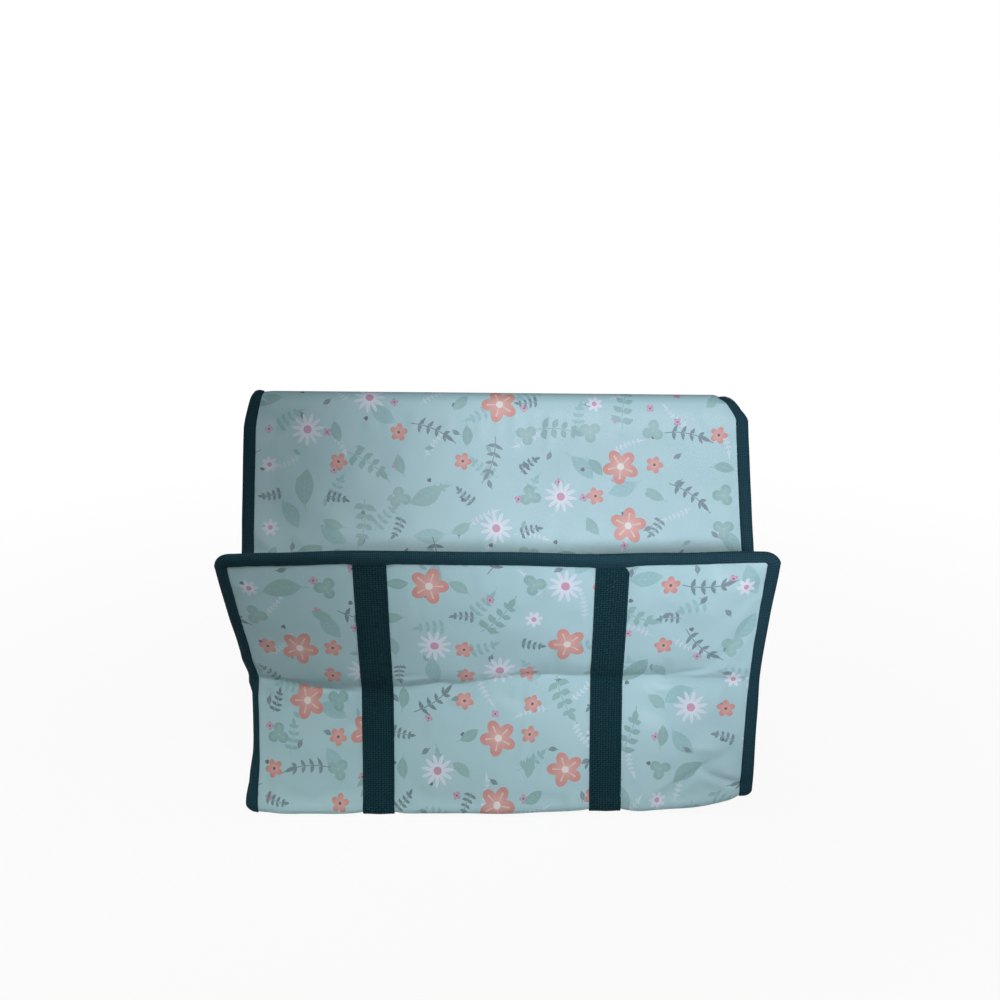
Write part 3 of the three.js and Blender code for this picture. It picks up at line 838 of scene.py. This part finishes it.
# inks in two tones, and the tone of a leaf's ribs
sage = ("82a8a8", "8fb4b4", "9dc0c0")
mist = ("8cb3b7", "93babf", "a2c7cb")
slate = ("6a8088", "788e96", "93a5aa")
offWhite = ("ccd8e2", "c4d2de")
coral = ("c98f86", "c48b84")
mauve = ("bd97b0", "b48ca7")
plum = ("5f7078", "75687e")
printing = {
    "ground": ("a2c4c9", "a9cad0"),
    "fields": [
        {"pitch": (47.0, 47.0), "start": (0.2, 0.6), "drop": 0.5, "stray": 6.0, "seed": 7.0, "motifs": [
            (0.00, 0.30, drawLeaf, dict(length=36, wide=15.0, bow=2.0, ribs=1.1, vein=0.4, ink=mist)),
            (0.30, 0.58, drawSprig, dict(length=38, step=6.4, leaf=(9.5, 5.6), rise=0.5, taper=0.6,
                bow=3.0, stalk=0.5, ink=mist)),
            (0.58, 0.80, drawSprig, dict(length=38, step=4.4, leaf=(8.5, 2.8), rise=0.8, taper=0.5,
                bow=3.0, stalk=0.45, ink=offWhite)),
        ]},
        {"pitch": (31.0, 31.0), "start": (0.3, 0.1), "drop": 0.5, "stray": 9.0, "seed": 3.0, "motifs": [
            (0.00, 0.24, drawLeaf, dict(length=11.0, wide=5.0, bow=0.7, ribs=0.6, vein=0.35, ink=slate)),
            (0.24, 0.44, drawBlossom, dict(petals=4, size=4.2, notch=0.35, round=0.6, ink=mauve,
                heart="cfa9bf", eye="6c6076", eyeSize=0.28)),
            (0.44, 0.60, drawLeaf, dict(length=10.5, wide=4.6, bow=0.5, ribs=0.6, vein=0.0, ink=sage)),
            (0.60, 0.74, drawBlossom, dict(petals=3, size=2.4, notch=0.2, round=0.6, ink=plum,
                heart="66757d", eye="5f7078", eyeSize=0.1)),
        ]},
        {"pitch": (62.0, 31.0), "start": (0.0, 0.0), "drop": 0.0, "stray": 6.0, "seed": 12.0, "motifs": [
            (0.00, 0.22, drawLeaf, dict(length=25, wide=10.5, bow=1.5, ribs=1.5, vein=0.35, ink=sage)),
            (0.22, 0.40, drawBlossom, dict(petals=5, size=9.0, notch=0.42, round=0.5, ink=coral,
                heart="d2a8a2", eye="6d5c64", eyeSize=0.18)),
            (0.40, 0.62, drawSprig, dict(length=25, step=5.0, leaf=(7.4, 4.4), rise=0.5, taper=0.6,
                bow=2.0, stalk=0.5, ink=slate)),
            (0.62, 0.80, drawBlossom, dict(petals=3, size=11.0, notch=0.55, round=0.45, ink=sage,
                heart="93b6b4", eye="9dc0c0", eyeSize=0.1, vein=0.5)),
            (0.80, 0.92, drawBlossom, dict(petals=7, size=8.5, notch=0.5, round=0.6, ink=offWhite,
                heart="d9dde6", eye="c395ae", eyeSize=0.3, vein=0.15)),
        ]},
        {"pitch": (62.0, 62.0), "start": (0.5, 0.25), "drop": 0.5, "stray": 8.0, "seed": 1.0, "motifs": [
            (0.00, 0.26, drawBlossom, dict(petals=5, size=18.0, notch=0.42, round=0.55, ink=coral,
                heart="d5aaa3", eye="dfd9d6", eyeSize=0.2, vein=0.55)),
            (0.26, 0.46, drawSprig, dict(length=52, step=9.4, leaf=(12.5, 8.0), rise=0.45, taper=0.6,
                bow=4.0, stalk=0.6, ink=sage, vein=0.5)),
            (0.46, 0.68, drawSprig, dict(length=50, step=8.6, leaf=(13.5, 5.6), rise=0.75, taper=0.6,
                bow=4.5, stalk=0.65, ink=slate, vein=0.6)),
            (0.68, 0.84, drawBlossom, dict(petals=11, size=16.0, notch=0.6, round=0.75, ink=offWhite,
                heart="d9dde6", eye="c395ae", eyeSize=0.26, vein=0.15)),
            (0.84, 1.01, drawLeaf, dict(length=42, wide=18.0, bow=2.5, ribs=1.1, vein=0.4, ink=sage)),
        ]},
    ],
}


def printedCloth():
    # woven polypropylene strips under a printed film: a satin gloss over a fine flat weave
    material = newMaterial("printed_laminated_polypropylene")
    uv = wire("UVMap", uv_map="cloth")
    patch = wire("TexNoise", uv, named={"Scale": 1000 / 55.6, "Detail": 3.0})
    ink = wire("Mix.RGBA", patch, colour(printing["ground"][0]), colour(printing["ground"][1]))
    for field in printing["fields"]:
        at, x, y, chance, tone = scatter(uv, field)
        for low, high, draw, motif in field["motifs"]:
            dye = wire("Mix.RGBA", tone, colour(motif["ink"][0]), colour(motif["ink"][1]))
            inside, dye = draw(motif, at, x, y, dye)
            above = wire("Math.GREATER_THAN", chance, low)
            below = wire("Math.LESS_THAN", chance, high)
            chosen = wire("Math.MULTIPLY", above, below)
            shown = wire("Math.MULTIPLY", chosen, inked(inside))
            ink = wire("Mix.RGBA", shown, ink, dye)
    # the weave: flat strips 1.2 mm wide, over one and under one
    pitch = 1.2
    split = wire("SeparateXYZ", uv).node.outputs
    waves = [wire("Math.SINE", wire("Math.MULTIPLY", split[k], 1000 * math.pi / pitch)) for k in "XY"]
    weave = wire("Math.MULTIPLY", *waves)
    grain = wire("TexNoise", uv, named={"Scale": 1000 / 2.38, "Detail": 2.0})
    height = wire("Math.MULTIPLY_ADD", grain, 0.35, weave)
    bump = wire("Bump", named={"Strength": 0.18, "Distance": 0.0004, "Height": height})
    # painted shade of the weave: the colour is darkened toward 6f9096, by up to 12 %, where the weave's wave
    # is above zero
    gap = wire("MapRange", weave, 0.0, 1.0, 0.0, 0.12, clamp=True)
    ink = wire("Mix.RGBA", gap, ink, colour("6f9096"))
    gloss = wire("MapRange", patch, 0.3, 0.7, 0.38, 0.48, clamp=True)
    shader = wire("BsdfPrincipled", named={
        "Base Color": ink, "Roughness": gloss, "Normal": bump, "IOR": 1.49, "Specular IOR Level": 0.5})
    wire("OutputMaterial", shader)
    return material


def wovenWebbing(name, base, painted_highlight, pitch, deep, rough, shine):
    # spun yarn in a plain basket weave: dull; the soft shine on each crossing is a painted highlight, the
    # second colour on the raised crowns, and the first colour in the gaps is painted shade
    # pitch is in mm, and coarser than the tape's real yarn, which would not show
    material = newMaterial(name)
    uv = wire("UVMap", uv_map="cloth")
    scaled = wire("VectorMath.MULTIPLY", uv, (1000 / pitch[0], 1000 / pitch[1], 0))
    cell = wire("SeparateXYZ", wire("VectorMath.FLOOR", scaled)).node.outputs
    local = wire("SeparateXYZ", wire("VectorMath.FRACTION", scaled)).node.outputs
    parity = wire("Math.FLOORED_MODULO", wire("Math.ADD", cell["X"], cell["Y"]), 2.0)
    waves = [wire("Math.SINE", wire("Math.MULTIPLY", local[k], math.pi)) for k in "XY"]
    height = wire("Mix.FLOAT", parity, *waves)
    fuzz = wire("TexNoise", uv, named={"Scale": 1000 / 1.11, "Detail": 2.0})
    height = wire("Math.MULTIPLY_ADD", fuzz, 0.3, height)
    # painted light: 0 in the weave's gaps takes the painted shade colour, 1 on the crowns the painted
    # highlight colour
    painted_light_mask = wire("MapRange", height, 0.2, 1.2, 0.0, 1.0, clamp=True)
    ink = wire("Mix.RGBA", painted_light_mask, colour(base), colour(painted_highlight))
    bump = wire("Bump", named={"Strength": 1.0, "Distance": deep, "Height": height})
    shader = wire("BsdfPrincipled", named={
        "Base Color": ink, "Roughness": rough, "Normal": bump, "IOR": 1.49, "Specular IOR Level": shine})
    wire("OutputMaterial", shader)
    return material


def foilLining():
    # aluminised film over foam: silver grey, softly creased, with a broad sheen
    material = newMaterial("aluminised_film")
    uv = wire("UVMap", uv_map="cloth")
    crease = wire("TexNoise", uv, named={"Scale": 1000 / 22.2, "Detail": 3.0, "Distortion": 1.2})
    fine = wire("TexNoise", uv, named={"Scale": 1000 / 3.85, "Detail": 2.0})
    height = wire("Math.MULTIPLY_ADD", fine, 0.12, crease)
    bump = wire("Bump", named={"Strength": 0.6, "Distance": 0.004, "Height": height})
    ink = wire("Mix.RGBA", crease, colour("b4b9be"), colour("d3d7da"))
    gloss = wire("MapRange", crease, 0.3, 0.7, 0.30, 0.44, clamp=True)
    shader = wire("BsdfPrincipled", named={
        "Base Color": ink, "Metallic": 0.4, "Roughness": gloss, "Normal": bump})
    wire("OutputMaterial", shader)
    return material


def insulationFoam():
    # closed-cell polyethylene foam: white and matt, with cells about a millimetre wide
    material = newMaterial("polyethylene_foam")
    place = wire("TexCoord").node.outputs["Object"]
    cells = wire("TexVoronoi", place, named={"Scale": 1000 / 1.11})
    bump = wire("Bump", named={"Strength": 0.4, "Distance": 0.0004, "Height": cells})
    ink = wire("Mix.RGBA", cells, colour("e9e8e2"), colour("f4f3ee"))
    shader = wire("BsdfPrincipled", named={"Base Color": ink, "Roughness": 0.85, "Normal": bump})
    wire("OutputMaterial", shader)
    return material


looks = {
    "cloth": (printedCloth(), "printed_cloth"),
    "padding": (insulationFoam(), "foam"),
    "foil": (foilLining(), "foil_lining"),
    # in each woven material the first colour is painted shade and the second a painted highlight
    "tape": (wovenWebbing("polyester_binding_tape", "12262d", "294c57", pitch=(1.7, 1.7),
                          deep=0.0003, rough=0.65, shine=0.04), "binding_tape"),
    "webbing": (wovenWebbing("polypropylene_webbing", "041218", "1f464f", pitch=(2.5, 2.0),
                             deep=0.0009, rough=0.6, shine=0.05), "webbing"),
}
looks["loop"] = looks["webbing"]
bodies = {"front_loop": "front_handle", "back_loop": "back_handle"}

for name, obj in pieces.items():
    material, slot = looks[name.split("_")[-1]]
    obj.data.materials.append(material)
    if name.startswith("cover"):
        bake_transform(obj)
    else:
        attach(obj, bodies.get(name, "bag"))

print("pieces dressed:", len(pieces))

# Floor, light and camera.
bpy.ops.mesh.primitive_plane_add(size=80, location=(0, 0, 0))
floor = bpy.context.active_object
floor.name = "floor"
# seamless white paper: matt, and lit to white but for a faint shadow near the bag
material = newMaterial("white_paper_floor")
rays = wire("LightPath").node.outputs
seen = wire("Math.MAXIMUM", rays["Is Camera Ray"], rays["Is Glossy Ray"])
seen = wire("Math.MAXIMUM", seen, rays["Is Transmission Ray"])
plain = wire("BsdfDiffuse", colour("c4c4c4"))
white = wire("Emission", (1, 1, 1, 1), 1.0)
place = wire("TexCoord").node.outputs["Object"]
away = wire("VectorMath.LENGTH", place)
glow = wire("MapRange", away, 0.25, 1.2, 0.93, 1.0, clamp=True)
part = wire("Math.MULTIPLY", seen, glow)
wire("OutputMaterial", wire("MixShader", part, plain, white))
floor.data.materials.append(material)

world = bpy.data.worlds.new("studio")
scene.world = world
world.use_nodes = True
world.node_tree.nodes.clear()
drawing["tree"] = world.node_tree
rays = wire("LightPath").node.outputs
seen = wire("Math.MAXIMUM", rays["Is Camera Ray"], rays["Is Transmission Ray"])
room = wire("Background", (0.96, 1.0, 0.975, 1), 0.147)
white = wire("Background", (1, 1, 1, 1), 1.0)
wire("OutputWorld", wire("MixShader", seen, room, white))

lamps = {
    "key": {"kind": "SPOT", "at": (0.45, -1.65, 0.70), "to": (0.182, -0.02, 0.32), "size": 0.12,
            "power": 80, "cone": 20, "blend": 0.26, "tint": (0.985, 0.985, 1.09)},
    "top": {"kind": "AREA", "at": (0.08, -0.85, 1.25), "to": (0.05, 0, 0.25), "size": 0.35, "tall": 0.35,
            "spread": 180, "power": 4.4, "tint": (0.97, 1.0, 1.01)},
    "low": {"kind": "AREA", "at": (-0.18, -0.85, 1.25), "to": (-0.13, -0.12, -0.02), "size": 0.55,
            "tall": 0.12, "spread": 24, "power": 0.26, "tint": (1, 1, 1)},
}
for name, side in (("backLeft", -1), ("backRight", 1)):
    lamps[name] = {"kind": "SPOT", "at": (1.25 * side, 1.45, 0.35), "to": (0, 0.06, 0.2), "size": 0.3,
                   "power": 80, "cone": 26, "blend": 0.8, "tint": (0.98, 0.99, 1.05)}
for name, lamp in lamps.items():
    light = bpy.data.lights.new(name, lamp["kind"])
    if lamp["kind"] == "SPOT":
        light.spot_size = math.radians(lamp["cone"])
        light.spot_blend = lamp["blend"]
        light.shadow_soft_size = lamp["size"]
    else:
        light.shape = "RECTANGLE"
        light.size = lamp["size"]
        light.size_y = lamp["tall"]
        light.spread = math.radians(lamp["spread"])
    light.energy = lamp["power"]
    light.color = lamp["tint"]
    obj = bpy.data.objects.new(name, light)
    scene.collection.objects.link(obj)
    obj.location = lamp["at"]
    aim = np.subtract(lamp["to"], lamp["at"])
    flatLength = math.hypot(aim[0], aim[1])
    obj.rotation_euler = (math.atan2(flatLength, -aim[2]), 0, math.atan2(aim[1], aim[0]) - math.pi / 2)

view = {"at": (0.0, -1.2409, 0.6747), "pitch": 22.0, "lens": 49.14, "shift": (0.002, 0.1032)}
camera = bpy.data.objects.new("camera", bpy.data.cameras.new("camera"))
scene.collection.objects.link(camera)
camera.location = view["at"]
camera.rotation_euler = (math.radians(90 - view["pitch"]), 0, 0)
camera.data.sensor_width = 36
camera.data.lens = view["lens"]
camera.data.shift_x, camera.data.shift_y = view["shift"]
scene.camera = camera
scene.view_settings.view_transform = "Standard"

bpy.context.view_layer.update()
